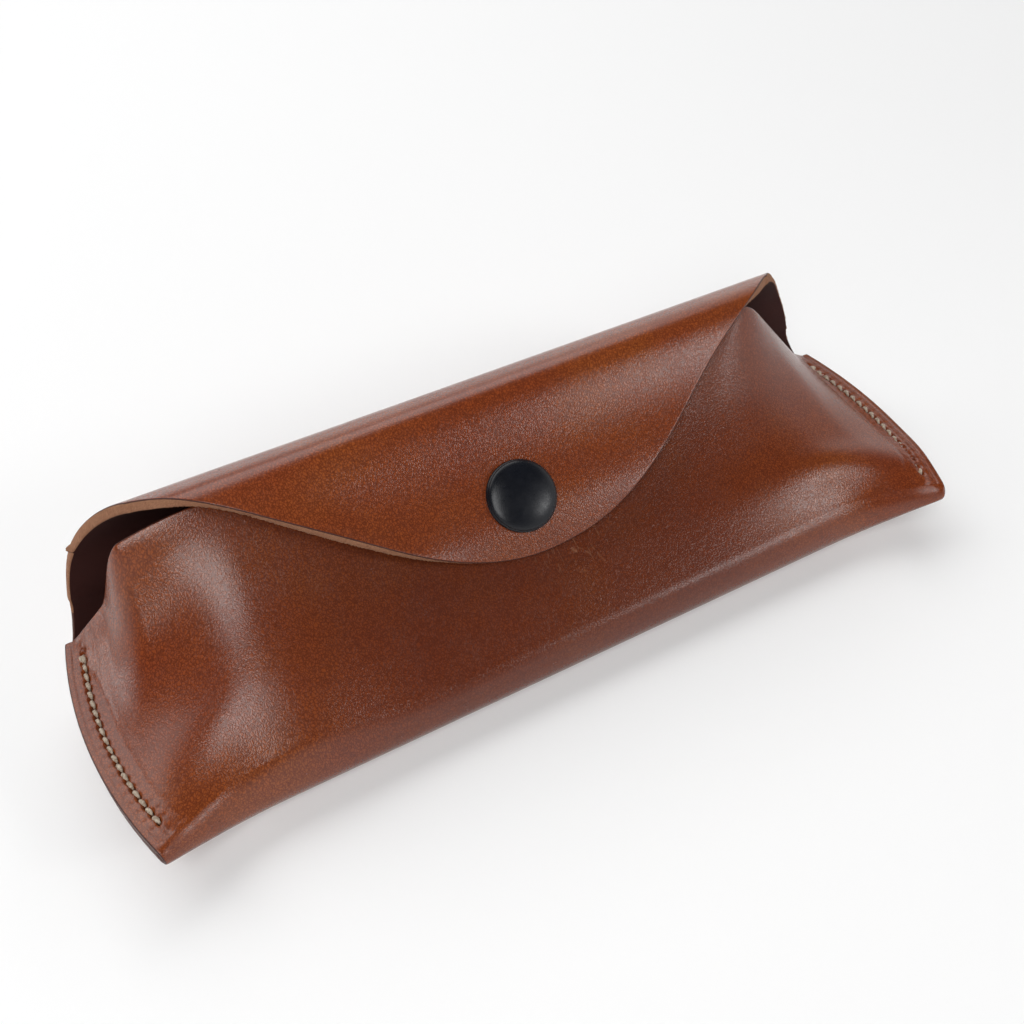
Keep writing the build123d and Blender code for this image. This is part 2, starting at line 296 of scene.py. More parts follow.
def monotone(knots):
    """Smooth function through (place, value) knots that never overshoots them."""
    places, values = np.array(sorted(knots), float).T
    gaps = np.diff(places)
    rises = np.diff(values) / gaps
    slopes = np.zeros(len(places))
    for i in range(1, len(places) - 1):
        if rises[i - 1] * rises[i] > 0:
            first = 2 * gaps[i] + gaps[i - 1]
            second = gaps[i] + 2 * gaps[i - 1]
            slopes[i] = (first + second) / (first / rises[i - 1] + second / rises[i])

    def value(x):
        x = np.clip(x, places[0], places[-1])
        i = np.clip(np.searchsorted(places, x) - 1, 0, len(gaps) - 1)
        u = (x - places[i]) / gaps[i]
        return hermite(u, values[i], gaps[i] * slopes[i], values[i + 1], gaps[i] * slopes[i + 1])

    return value


def bell(distance, width):
    return np.exp(-((distance / width) ** 2))


# Section lines of the pouch, outer side, from the mouth round the fold to the back wall

def seam_circle():
    """Centre and radius of the sewn end's outline in plan."""
    a = np.array((FOLD_HALF_WIDTH, -HALF_DEPTH))
    b = np.array((MIDDLE_HALF_WIDTH, 0.0))
    c = np.array((MOUTH_HALF_WIDTH, SEAM_MOUTH_Y))
    matrix = 2 * np.array((b - a, c - a))
    centre = np.linalg.solve(matrix, np.array((b @ b - a @ a, c @ c - a @ a)))
    return centre, np.linalg.norm(a - centre)


SEAM_CENTRE, SEAM_RADIUS = seam_circle()
SEAM_HALF_THICKNESS = THICKNESS + LAYER_GAP / 2
SEAM_TOP = SEAM_HEIGHT + SEAM_HALF_THICKNESS
SEAM_BOTTOM = SEAM_HEIGHT - SEAM_HALF_THICKNESS


def pouch_lines():
    """Rows of the section as (y, z), where the case is full and where it is flat, their marks and lengths.

    The marks are 0 at the mouth, 1 and 2 where the fold starts and ends, 3 at the bend and 4 at the lip.
    """
    fold_start = np.array(FOLD_CENTRE) + FOLD_RADIUS * left_of(FOLD_SLOPE)
    full = [
        spline(
            (MOUTH_EDGE, SNAP_SEAT, TIP_SEAT, fold_start),
            heading(MOUTH_SLOPE + 180),
            heading(FOLD_SLOPE + 180),
        ),
        arc(FOLD_CENTRE, FOLD_RADIUS, FOLD_SLOPE + 90, 270),
        line((FOLD_CENTRE[0], BELLY_LEVEL), (BELLY_END_Y, BELLY_LEVEL)),
        spline(((BELLY_END_Y, BELLY_LEVEL), LIP_BEND, LIP_AXIS), (1, 0), (0, 1)),
    ]
    flat_fold = SEAM_HALF_THICKNESS - HALF_DEPTH
    flat = [
        line((SEAM_MOUTH_Y, SEAM_TOP), (flat_fold, SEAM_TOP)),
        arc((flat_fold, SEAM_HEIGHT), SEAM_HALF_THICKNESS, 90, 270),
        line((flat_fold, SEAM_BOTTOM), (END_BEND_START_Y, SEAM_BOTTOM)),
        spline(((END_BEND_START_Y, SEAM_BOTTOM), END_BEND, LIP_AXIS), (1, 0), (0, 1)),
    ]
    counts = (FRONT_ROWS, FOLD_ROWS, BACK_ROWS, WALL_ROWS)
    rows_full, rows_flat, marks = [], [], []
    for part, (one, other, count) in enumerate(zip(full, flat, counts)):
        rows_full.append(resampled(one, count + 1)[:-1])
        rows_flat.append(resampled(other, count + 1)[:-1])
        marks.append(part + np.arange(count) / count)
    rows_full.append(full[-1][-1:])
    rows_flat.append(flat[-1][-1:])
    marks.append(np.array([4.0]))
    rows_full, rows_flat = np.concatenate(rows_full), np.concatenate(rows_flat)
    return rows_full, rows_flat, np.concatenate(marks), run_lengths(rows_full)


LINE_FULL, LINE_FLAT, LINE_MARK, LINE_LENGTH = pouch_lines()


def hinge(distance, rounding):
    """Zero before a knot and rising evenly after it, rounded for some way to both sides."""
    inside = (distance + rounding) ** 2 / (4 * rounding)
    return np.where(distance > rounding, distance, np.where(distance < -rounding, 0.0, inside))


def end_share(half_x, mark, rows):
    """Share of the full section at one end, straight between knots that move along the section."""
    table = np.array(rows)
    foot, knee, shoulder, ridge, knee_share, shoulder_share, rounding = (
        monotone(list(zip(table[:, 0], column)))(mark) for column in table[:, 1:].T
    )
    first = knee_share / (foot - knee)
    second = (shoulder_share - knee_share) / (knee - shoulder)
    third = (1 - shoulder_share) / (shoulder - ridge)
    return (
        first * hinge(foot - half_x, FOOT_ROUNDING)
        + (second - first) * hinge(knee - half_x, FOOT_ROUNDING)
        + (third - second) * hinge(shoulder - half_x, SHOULDER_ROUNDING)
        - third * hinge(ridge - half_x, rounding)
    )


def swell_share(x, mark):
    """Share of the full section at a place along the case and a mark along the section."""
    left = end_share(np.abs(x), mark, LEFT_END)
    right = end_share(np.abs(x), mark, RIGHT_END)
    return np.where(x < 0, left, right)


def pouch_half_width(flat_y, mark):
    """Half length of the pouch's outline on each row of the section."""
    from_centre = np.minimum(flat_y, SEAM_MOUTH_Y) - SEAM_CENTRE[1]
    round_end = SEAM_CENTRE[0] + np.sqrt(SEAM_RADIUS**2 - from_centre**2)
    past_notch = np.clip((flat_y - NOTCH_Y) / (LIP_AXIS[0] - NOTCH_Y), 0, 1)
    slant = MOUTH_HALF_WIDTH + (LIP_HALF_WIDTH - MOUTH_HALF_WIDTH) * past_notch
    return np.where((mark > 2) & (flat_y > SEAM_MOUTH_Y), slant, round_end) - RIM


def column_shares():
    """Shares of the half length from -1 to 1 across the case, closely spaced near both ends."""
    ends = np.arange(0, COLUMN_FINE_BAND, COLUMN_FINE)
    middle_band = MIDDLE_HALF_WIDTH - COLUMN_FINE_BAND
    middle = np.linspace(COLUMN_FINE_BAND, MIDDLE_HALF_WIDTH, int(middle_band / COLUMN_COARSE))
    right = 1 - np.concatenate((ends, middle)) / MIDDLE_HALF_WIDTH
    return np.concatenate((-right[:-1], right[::-1]))


COLUMN_SHARES = column_shares()


def pouch_surface(rows):
    """Outer surface of the pouch's leather on a grid, and its places on the flat blank."""
    mark = LINE_MARK[rows][:, None]
    full, flat = LINE_FULL[rows][:, None, :], LINE_FLAT[rows][:, None, :]
    x = pouch_half_width(flat[..., 0], mark) * COLUMN_SHARES[None, :]
    share = swell_share(x, mark)[..., None]
    yz = flat + (full - flat) * share
    for height, rise_x, rise_mark, spread, mark_spread in RISES:
        yz[..., 1] += height * bell(x - rise_x, spread) * bell(mark - rise_mark, mark_spread)
    yz[..., 1] = np.maximum(yz[..., 1], 0.0)
    surface = np.concatenate((x[..., None], yz), axis=-1)
    flat_place = np.stack((x, np.broadcast_to(LINE_LENGTH[rows][:, None], x.shape)), axis=-1)
    return surface, flat_place


# Flap

def flap_line():
    """Outer (y, z) lines of the flap, from the lip to the crest and from there to past the tip."""
    snap = np.array(SNAP_SEAT) + (SNAP_STACK + THICKNESS) * left_of(SNAP_SLOPE)
    tip = np.array(TIP_SEAT) + (TIP_GAP + THICKNESS) * left_of(TIP_SLOPE)
    past = (tip - snap) / np.linalg.norm(tip - snap)
    run = heading(SNAP_SLOPE)
    under_cap = snap + SNAP_FLAT * run, snap - SNAP_FLAT * run
    front_knots = (CREST_AXIS, CREST_TOP, FLAP_CHEEK, *under_cap, tip, tip + TIP_OVERRUN * past)
    rear = spline((LIP_AXIS, REAR_WALL, REAR_SHOULDER, CREST_AXIS), (0, 1), heading(CREST_TURN), count=400)
    return rear, spline(front_knots, heading(CREST_TURN), past, count=600)


FLAP_REAR, FLAP_FRONT = flap_line()
REAR_LENGTH = run_lengths(FLAP_REAR)[-1]
FLAP_LINE = np.concatenate((FLAP_REAR, FLAP_FRONT[1:]))
FLAP_LENGTHS = run_lengths(FLAP_LINE)


def outline_side(side):
    """The flap's outline on one side, from the lip to the tip, as (x, length along the flap)."""
    rear = spline(REAR_OUTLINE, *REAR_HEADINGS, count=120)
    rear_lengths = np.interp(rear[:, 1], FLAP_REAR[:, 1], run_lengths(FLAP_REAR))
    tip = (side * TIP_OFFSET, -TIP_REACH)
    front = spline((*FRONT_OUTLINE, tip), *FRONT_HEADINGS, count=400)
    runs = (FLAP_FRONT - np.array(SNAP_SEAT)) @ heading(SNAP_SLOPE)
    front_lengths = np.interp(-front[:, 1], -runs, run_lengths(FLAP_FRONT)) + REAR_LENGTH
    xs = np.concatenate((rear[:, 0], front[1:, 0]))
    return np.stack((side * xs, np.concatenate((rear_lengths, front_lengths[1:]))), axis=1)


def flap_surface(x, lengths):
    """Outer surface of the flap at places given by x and length along it."""
    y = np.interp(lengths, FLAP_LENGTHS, FLAP_LINE[:, 0])
    z = np.interp(lengths, FLAP_LENGTHS, FLAP_LINE[:, 1])
    return np.stack((x, y, z), axis=-1)


# Meshes

def grid_normals(grid):
    down = np.gradient(grid, axis=0)
    across = np.gradient(grid, axis=1)
    normal = np.cross(down, across)
    return normal / np.maximum(np.linalg.norm(normal, axis=-1, keepdims=True), 1e-9)


# A cut edge's rings, as (distance outwards, depth below the grain side)
RIM_PROFILE = (
    (0.10, 0.02),
    (0.20, 0.08),
    (0.27, 0.20),
    (0.30, 0.45),
    (0.30, 0.90),
    (0.29, 1.35),
    (0.24, 1.60),
    (0.12, 1.76),
)
GRAIN, BEVEL, EDGE, FLESH = 0, 1, 2, 3
RIM_KINDS = (GRAIN, BEVEL, BEVEL) + (EDGE,) * 6


def leather_sheet(name, grid, flat_place, rims, fray=0.0):
    """A sheet of leather with its grain side on a grid, its flesh side below it and rounded cut edges.

    Each rim is a run of grid places (row, column) with the leather on its right, seen from outside.
    Fray is how far loose fibres roughen the cut.
    """
    normals = grid_normals(grid)
    rows, cols = grid.shape[:2]
    outer = grid.reshape(-1, 3)
    vertices = [outer, (grid - THICKNESS * normals).reshape(-1, 3)]
    places = [flat_place.reshape(-1, 2)] * 2
    index = np.arange(rows * cols).reshape(rows, cols)
    corners = (index[:-1, :-1], index[1:, :-1], index[1:, 1:], index[:-1, 1:])
    quads = np.stack(corners, axis=-1).reshape(-1, 4)
    faces = [quads, quads[:, ::-1] + rows * cols]
    slots = [np.full(len(quads), GRAIN), np.full(len(quads), FLESH)]
    count = 2 * rows * cols
    for rim in rims:
        path = np.array([r * cols + c for r, c in rim])
        edge, edge_normal = outer[path], normals.reshape(-1, 3)[path]
        outward = np.cross(edge_normal, np.gradient(edge, axis=0))
        outward /= np.maximum(np.linalg.norm(outward, axis=1, keepdims=True), 1e-9)
        rings = [path]
        for out, down in RIM_PROFILE:
            rings.append(np.arange(count, count + len(path)))
            loose = fray * (down / THICKNESS) * rng.normal(0, 1, (len(path), 1))
            vertices.append(edge + (out + loose) * outward - down * edge_normal)
            places.append(flat_place.reshape(-1, 2)[path] + (0, down))
            count += len(path)
        rings.append(path + rows * cols)
        for ring, after, kind in zip(rings, rings[1:], RIM_KINDS):
            faces.append(np.stack((ring[:-1], ring[1:], after[1:], after[:-1]), axis=-1))
            slots.append(np.full(len(path) - 1, kind))
    return mesh_object(
        name, np.concatenate(vertices), np.concatenate(faces), np.concatenate(slots), np.concatenate(places)
    )


def mesh_object(name, vertices, faces, slots=None, places=None):
    """An object at the origin from vertices in millimetres, with places on the flat blank kept as UVs."""
    mesh = bpy.data.meshes.new(name)
    mesh.from_pydata((np.asarray(vertices) * MM).tolist(), [], [list(map(int, face)) for face in faces])
    if slots is not None:
        mesh.polygons.foreach_set("material_index", np.asarray(slots, np.int32))
    if places is not None:
        layer = mesh.uv_layers.new(name="flat")
        corner = np.zeros(len(mesh.loops), np.int32)
        mesh.loops.foreach_get("vertex_index", corner)
        layer.data.foreach_set("uv", (places[corner] / UV_UNIT).astype(np.float32).ravel())
    mesh.polygons.foreach_set("use_smooth", [True] * len(mesh.polygons))
    mesh.update()
    piece = bpy.data.objects.new(name, mesh)
    bpy.context.scene.collection.objects.link(piece)
    return piece


# Leather pieces

def side_run(rows, cols, side):
    """Places along one side of a grid, as (row, column), with the leather on their right from outside."""
    runs = {
        "left": [(r, 0) for r in range(rows - 1, -1, -1)],
        "first": [(0, c) for c in range(cols)],
        "right": [(r, cols - 1) for r in range(rows)],
        "last": [(rows - 1, c) for c in range(cols - 1, -1, -1)],
    }
    return runs[side]


def seam_inset(x, y):
    """Distance inside the sewn end's outline."""
    return SEAM_RADIUS - np.hypot(np.abs(x) - SEAM_CENTRE[0], y - SEAM_CENTRE[1])


def stitch_places(side):
    """Awl holes of one seam from the mouth to the fold, as (x, y) and the seam's heading there."""
    radius = SEAM_RADIUS - STITCH_INSET
    first = math.asin((STITCH_START_Y - SEAM_CENTRE[1]) / radius)
    last = math.asin((STITCH_END_Y - SEAM_CENTRE[1]) / radius)
    places = []
    for angle in np.linspace(first, last, STITCH_COUNT):
        x = SEAM_CENTRE[0] + radius * math.cos(angle)
        y = SEAM_CENTRE[1] + radius * math.sin(angle)
        places.append((np.array((side * x, y)), np.array((side * math.sin(angle), -math.cos(angle)))))
    return places


def seam_marks(x, y):
    """How far the seam's creases, trench, awl holes and dents press the leather in."""
    inset = seam_inset(x, y)
    beside = bell(np.maximum(np.maximum(y - MARKED_TO_Y, MARKED_FROM_Y - y), 0), MARKED_FADE)
    wander = sum(height * np.sin(rate * y + shift) for height, rate, shift in CREASE_WAVES)
    creases = ((EDGE_CREASE, 1, 0), (THREAD_TRENCH, beside, 0), (INNER_CREASE, beside, wander))
    depth = 0
    for (place, most, width), reach, bend in creases:
        depth = depth + most * bell(inset - place - bend, width) * reach
    slant = math.radians(AWL_ANGLE)
    for side in (-1, 1):
        for place, along in stitch_places(side):
            offset_x, offset_y = x - place[0], y - place[1]
            run = offset_x * along[0] + offset_y * along[1]
            out = side * (offset_x * -along[1] + offset_y * along[0])
            long = run * math.cos(slant) + out * math.sin(slant)
            short = out * math.cos(slant) - run * math.sin(slant)
            hole = bell(long, HOLE_LENGTH) * bell(short, HOLE_WIDTH)
            beside_thread = sum(share * bell(out - aside, width) for aside, width, share in DENTS)
            dent = bell(run - DENT_RUN[0], DENT_RUN[1]) * beside_thread
            depth = depth + HOLE_DEPTH * hole + DENT_DEPTH * dent
    return depth


def make_pouch():
    """From the mouth round the fold and along the back panel to near the lip."""
    rows = np.arange(WALL_SPLIT_ROW + 1)
    grid, flat = pouch_surface(rows)
    mark = LINE_MARK[rows][:, None]
    flat_y = np.broadcast_to(LINE_FLAT[rows][:, None, 0], grid.shape[:2])
    sewn = (mark < 1.0) | ((mark > 2.0) & (flat_y < SEAM_MOUTH_Y))
    grid = grid - grid_normals(grid) * (seam_marks(grid[..., 0], flat_y) * sewn)[..., None]
    size = grid.shape[:2]
    rim = side_run(*size, "left") + side_run(*size, "first")[1:] + side_run(*size, "right")[1:]
    return leather_sheet("pouch_leather", grid, flat, [rim])


def make_flap_rear():
    """From near the lip, across its hinge, to the middle of the wall behind the mouth."""
    low, low_flat = pouch_surface(np.arange(WALL_SPLIT_ROW, len(LINE_MARK)))
    lengths = np.linspace(0, SPLIT_LENGTH, REAR_ROWS)[1:]
    left_x, right_x = (np.interp(lengths, *outline_side(side).T[::-1]) - side * RIM for side in (-1, 1))
    x = left_x[:, None] + (right_x - left_x)[:, None] * (COLUMN_SHARES[None, :] + 1) / 2
    along = np.broadcast_to(lengths[:, None], x.shape)
    grid = np.concatenate((low, flap_surface(x, along)))
    flat = np.concatenate((low_flat, np.stack((x, along + LINE_LENGTH[-1]), axis=-1)))
    rims = [side_run(*grid.shape[:2], end) for end in ("left", "right")]
    return leather_sheet("flap_rear_leather", grid, flat, rims, FRAY)


def front_outline():
    """Outline of the flap's front piece from its left end round the tip, as (x, length along the flap)."""
    halves = []
    for side in (outline_side(-1), outline_side(1)):
        start = np.interp(SPLIT_LENGTH, side[:, 1], side[:, 0]), SPLIT_LENGTH
        halves.append(np.concatenate(((start,), side[side[:, 1] > SPLIT_LENGTH])))
    return resampled(np.concatenate((halves[0], halves[1][::-1][1:])), FLAP_COLUMNS)


def make_flap_front():
    """From the middle of the wall behind the mouth over the crest to the tip."""
    outline = front_outline()
    along = np.gradient(outline, axis=0)
    inward = np.stack((along[:, 1], -along[:, 0]), axis=1) / np.linalg.norm(along, axis=1, keepdims=True)
    edge = outline + RIM * inward
    edge[0], edge[-1] = outline[0] + (RIM, 0), outline[-1] - (RIM, 0)
    shares = np.linspace(0, 1, FLAP_ROWS)
    lengths = SPLIT_LENGTH + shares[:, None] * np.maximum(edge[:, 1] - SPLIT_LENGTH, 0.0)[None, :]
    x = np.broadcast_to(edge[:, 0][None, :], lengths.shape)
    grid = flap_surface(x, lengths)
    lift = EDGE_LIFT * bell(x - EDGE_LIFT_X, EDGE_LIFT_SPREAD) * shares[:, None] ** EDGE_LIFT_POWER
    grid = grid + grid_normals(grid) * lift[..., None]
    flat = np.stack((x, lengths + LINE_LENGTH[-1]), axis=-1)
    return leather_sheet("flap_front_leather", grid, flat, [side_run(*grid.shape[:2], "last")], FRAY)


# Thread and snap

def ring_faces(rings, sides):
    """Faces between rings of vertices that follow each other."""
    return [
        (i * sides + k, i * sides + (k + 1) % sides, (i + 1) * sides + (k + 1) % sides, (i + 1) * sides + k)
        for i in range(rings - 1)
        for k in range(sides)
    ]


def twisted_thread(points, radii):
    """Vertices and faces of a plied thread with closed ends."""
    sides = STITCH_SIDES
    tangents = np.gradient(points, axis=0)
    tangents /= np.linalg.norm(tangents, axis=1, keepdims=True)
    up = np.array((0.0, 0.0, 1.0)) if abs(tangents[0, 2]) < 0.9 else np.array((1.0, 0.0, 0.0))
    vertices = []
    for i, (point, tangent, radius) in enumerate(zip(points, tangents, radii)):
        across = np.cross(tangent, up)
        across /= np.linalg.norm(across)
        lift = np.cross(across, tangent)
        for k in range(sides):
            angle = 2 * math.pi * k / sides
            reach = radius * (1 + PLY_DEPTH * math.cos(PLIES * (angle - PLY_TWIST * i)))
            vertices.append(point + reach * (math.cos(angle) * across + math.sin(angle) * lift))
    faces = ring_faces(len(points), sides)
    faces.append(tuple(range(sides - 1, -1, -1)))
    faces.append(tuple(range((len(points) - 1) * sides, len(points) * sides)))
    return vertices, faces


def joined(name, parts):
    """One object of several (vertices, faces)."""
    vertices, faces = [], []
    for part_vertices, part_faces in parts:
        base = len(vertices)
        vertices += list(part_vertices)
        faces += [tuple(base + k for k in face) for face in part_faces]
    return mesh_object(name, vertices, faces)


def make_stitching(name, side):
    """Short plump stitches that dive into their holes, doubled at the mouth and thicker at both ends."""
    parts = []
    places = stitch_places(side)
    u = np.linspace(STITCH_FROM, STITCH_TO, STITCH_RINGS)
    dome = np.maximum(np.sin(np.pi * (u - STITCH_FROM) / (STITCH_TO - STITCH_FROM)), 0.0)
    aside = (STITCH_SLANT * (1 - 2 * u))[:, None]
    for level, face in ((SEAM_TOP, 1), (SEAM_BOTTOM, -1)):
        for index, ((start, along), (end, _)) in enumerate(zip(places, places[1:])):
            across = np.array((-along[1], along[0])) * side * face
            line_points = start[None, :] * (1 - u[:, None]) + end[None, :] * u[:, None]
            line_points = line_points + across[None, :] * aside
            lift = rng.uniform(-STITCH_LIFT_RANGE, STITCH_LIFT_RANGE)
            height = level + face * (STITCH_DIVE + (STITCH_CROWN + lift) * dome**0.5)
            points = np.concatenate((line_points, height[:, None]), axis=1)
            at_end = index in (0, STITCH_COUNT - 2)
            plump = THREAD_RADIUS * (END_STITCH_PLUMP if at_end else rng.uniform(*STITCH_PLUMP_RANGE))
            radii = plump * (STITCH_THIN + STITCH_PLUMP * dome)
            parts.append(twisted_thread(points, radii))
            if index == 0:
                points = points + np.array((*across * SECOND_THREAD_ASIDE, -SECOND_THREAD_SUNK * face))
                parts.append(twisted_thread(points, radii * SECOND_THREAD_SHARE))
    return joined(name, parts)


def lathe(name, outline, centre, axis):
    """A body turned about an axis from (radius, height) points."""
    centre, normal = np.array(centre), np.array(axis, float)
    across = np.array((1.0, 0.0, 0.0))
    lift = np.cross(normal, across)
    vertices = []
    for radius, height in outline:
        for k in range(LATHE_SIDES):
            angle = 2 * math.pi * k / LATHE_SIDES
            outwards = math.cos(angle) * across + math.sin(angle) * lift
            vertices.append(centre + height * normal + radius * outwards)
    return mesh_object(name, vertices, ring_faces(len(outline), LATHE_SIDES))


def make_cap():
    """Domed cap with a rolled edge, and its post."""
    post_centre = CAP_POST[0][0]
    shoulder = [
        (CAP_RADIUS - CAP_ROLL + CAP_ROLL * math.cos(a), CAP_SEAT + CAP_ROLL + CAP_ROLL * math.sin(a))
        for a in np.radians(np.linspace(*ROLL_ANGLES, 20))
    ]
    rim_radius, rim_height = shoulder[-1]
    dome = [
        (rim_radius * math.cos(a), rim_height + (CAP_TOP - rim_height) * math.sin(a))
        for a in np.radians(np.linspace(*DOME_ANGLES, 40))
    ]
    outline = [*CAP_POST, *shoulder, *dome[:-1], (post_centre, CAP_TOP)]
    return lathe("snap_cap_dome", outline, (SNAP_OFFSET, *SNAP_SEAT), (0.0, *left_of(SNAP_SLOPE)))


# Materials

HIDE = (0.300, 0.0640, 0.0145)
HIDE_RED = (0.262, 0.0500, 0.0120)
HIDE_AMBER = (0.350, 0.0870, 0.0165)
HIDE_DARK = (0.066, 0.0125, 0.0050)
HIDE_SCRATCHED = (0.34, 0.16, 0.085)
BEVEL_COLOURS = ((0.085, 0.022, 0.011), (0.035, 0.009, 0.006))
CUT_COLOURS = ((0.46, 0.24, 0.135), (0.16, 0.060, 0.030))
BURNISHED_COLOURS = ((0.105, 0.030, 0.016), (0.045, 0.012, 0.008))
FLESH_COLOURS = ((0.048, 0.008, 0.0045), (0.020, 0.003, 0.002))
THREAD_LIGHT = (0.48, 0.40, 0.31)
THREAD_DARK = (0.21, 0.15, 0.10)
LACQUER_DARK = (0.0030, 0.0036, 0.0060)
LACQUER_LIGHT = (0.0050, 0.0060, 0.0095)

# Leather grain on the flat blank, and the shares of dark hide in it
PEBBLE_SCALE = 2.3
PEBBLE_STRETCH = (1.0, 0.74, 1.0)
PEBBLE_TURN = 32
PEBBLE_WANDER = 1.2
FINE_SCALE = 4.2
BROAD_SCALE = 0.040
PATCH_SCALE = 0.22
PATCH_SHARE = 0.32
CREASE_SHARE = 0.72
FINE_SHARE = 0.16

# Cut edges, on the flat blank
FIBRE_SCALE = 3.0
FIBRE_STRETCH = 3.2
EDGE_PATCH_SCALE = 0.6

# Thread and lacquer, in metres
PLY_SCALE = 2600.0
SPECK_SCALE = 900.0
CLOUD_SCALE = 180.0

# Painted shade: a darker middle of the flap and front
TIP_LENGTH = 170.0
PAINTED_SHADE_ALONG = ((0.56, 0.60), (0.60, 0.05), (0.82, 0.05), (0.97, 0.28))
PAINTED_SHADE_ASIDE = ((0.30, 1), (0.78, 0.25))

# Worn spot with crossing scratches
SCRATCHES_AT = (4.0, 26.0)
SCRATCHES_REACH = 11.0
SCRATCH_RUNS = ((20, (0.9, 0.12, 1.0)), (-35, (0.7, 0.10, 1.0)))
SCRATCH_SCALE = 0.55
SCRATCH_WIDTH = 0.022
SCRATCH_SHARE = 0.45


def node_material(name):
    material = bpy.data.materials.new(name)
    material.use_nodes = True
    tree = material.node_tree
    return material, tree, tree.nodes["Principled BSDF"]


def node(tree, kind, **values):
    """A new node with each value set on the input of that name, or else on the node."""
    made = tree.nodes.new(kind)
    for key, value in values.items():
        if key in made.inputs:
            made.inputs[key].default_value = value
        else:
            setattr(made, key, value)
    return made


def flat_mm(tree):
    """Place on the flat leather in millimetres."""
    place = node(tree, "ShaderNodeUVMap", uv_map="flat")
    scale = node(tree, "ShaderNodeVectorMath", operation="SCALE", Scale=UV_UNIT)
    tree.links.new(place.outputs["UV"], scale.inputs[0])
    return scale.outputs["Vector"]


def object_place(tree):
    return node(tree, "ShaderNodeTexCoord").outputs["Object"]


def grey(value):
    return (value, value, value)


def ramp(tree, source, *stops):
    """Colour or level by place along a ramp; a level is a grey."""
    made = node(tree, "ShaderNodeValToRGB")
    elements = made.color_ramp.elements
    while len(elements) < len(stops):
        elements.new(0.5)
    for element, (place, colour) in zip(elements, stops):
        element.position = place
        element.color = (*(colour if isinstance(colour, tuple) else grey(colour)), 1.0)
    tree.links.new(source, made.inputs["Fac"])
    return made.outputs["Color"]


def mixed(tree, fac, first, second):
    made = node(tree, "ShaderNodeMix", data_type="RGBA")
    for socket, value in ((made.inputs[0], fac), (made.inputs[6], first), (made.inputs[7], second)):
        if isinstance(value, bpy.types.NodeSocket):
            tree.links.new(value, socket)
        elif isinstance(value, tuple):
            socket.default_value = (*value, 1.0)
        else:
            socket.default_value = value
    return made.outputs[2]


def tinted(tree, colour, tint, mask, share):
    """A colour that takes on a tint by a share of a mask."""
    return mixed(tree, maths(tree, "MULTIPLY", mask, share), colour, tint)


def maths(tree, operation, first, second=0.5):
    made = node(tree, "ShaderNodeMath", operation=operation)
    for socket, value in zip(made.inputs, (first, second)):
        if isinstance(value, bpy.types.NodeSocket):
            tree.links.new(value, socket)
        else:
            socket.default_value = value
    return made.outputs[0]


def noise(tree, vector, scale, detail=3.0, roughness=0.5):
    made = node(tree, "ShaderNodeTexNoise", Scale=scale, Detail=detail, Roughness=roughness)
    tree.links.new(vector, made.inputs["Vector"])
    return made.outputs["Fac"]


def stretched(tree, vector, scale, turn=0.0):
    made = node(tree, "ShaderNodeMapping")
    made.inputs["Scale"].default_value = scale
    made.inputs["Rotation"].default_value = (0, 0, math.radians(turn))
    tree.links.new(vector, made.inputs["Vector"])
    return made.outputs["Vector"]


def border_distance(tree, vector, scale):
    """Distance from the borders of a cell pattern."""
    cells = node(tree, "ShaderNodeTexVoronoi", feature="DISTANCE_TO_EDGE", Scale=scale)
    tree.links.new(vector, cells.inputs["Vector"])
    return cells.outputs["Distance"]


def bump(tree, shader, height, strength, distance):
    made = node(tree, "ShaderNodeBump", Strength=strength, Distance=distance)
    tree.links.new(height, made.inputs["Height"])
    tree.links.new(made.outputs["Normal"], shader.inputs["Normal"])


def scratch_web(tree, place):
    """Faint scratches that cross each other in one worn spot below the flap's tip."""
    spot = node(tree, "ShaderNodeVectorMath", operation="DISTANCE")
    tree.links.new(place, spot.inputs[0])
    spot.inputs[1].default_value = (*SCRATCHES_AT, 0.0)
    near = ramp(tree, maths(tree, "DIVIDE", spot.outputs["Value"], SCRATCHES_REACH), (0.2, 1), (1.0, 0))
    lines = []
    for turn, scale in SCRATCH_RUNS:
        border = border_distance(tree, stretched(tree, place, scale, turn), SCRATCH_SCALE)
        lines.append(ramp(tree, border, (0.0, 1), (SCRATCH_WIDTH, 0)))
    broken = ramp(tree, noise(tree, place, SCRATCH_SCALE), (0.48, 0), (0.56, 1))
    return maths(tree, "MULTIPLY", maths(tree, "MULTIPLY", maths(tree, "MAXIMUM", *lines), broken), near)


def painted_shade_shares(tree, place):
    """Shares of painted shade that darken the leather, by length along the blank and by distance aside."""
    along = node(tree, "ShaderNodeSeparateXYZ")
    tree.links.new(place, along.inputs[0])
    run = maths(tree, "DIVIDE", along.outputs["Y"], TIP_LENGTH)
    aside = maths(tree, "DIVIDE", maths(tree, "ABSOLUTE", along.outputs["X"]), MIDDLE_HALF_WIDTH)
    return ramp(tree, run, *PAINTED_SHADE_ALONG), ramp(tree, aside, *PAINTED_SHADE_ASIDE)


def pebble_distance(tree, place):
    """Distance from the creases of the grain, whose cells lean and wander."""
    wander = node(tree, "ShaderNodeTexNoise", Scale=PEBBLE_WANDER, Detail=2.0)
    tree.links.new(place, wander.inputs["Vector"])
    shifted = node(tree, "ShaderNodeVectorMath", operation="ADD")
    tree.links.new(stretched(tree, place, PEBBLE_STRETCH, PEBBLE_TURN), shifted.inputs[0])
    tree.links.new(wander.outputs["Color"], shifted.inputs[1])
    return border_distance(tree, shifted.outputs[0], PEBBLE_SCALE)


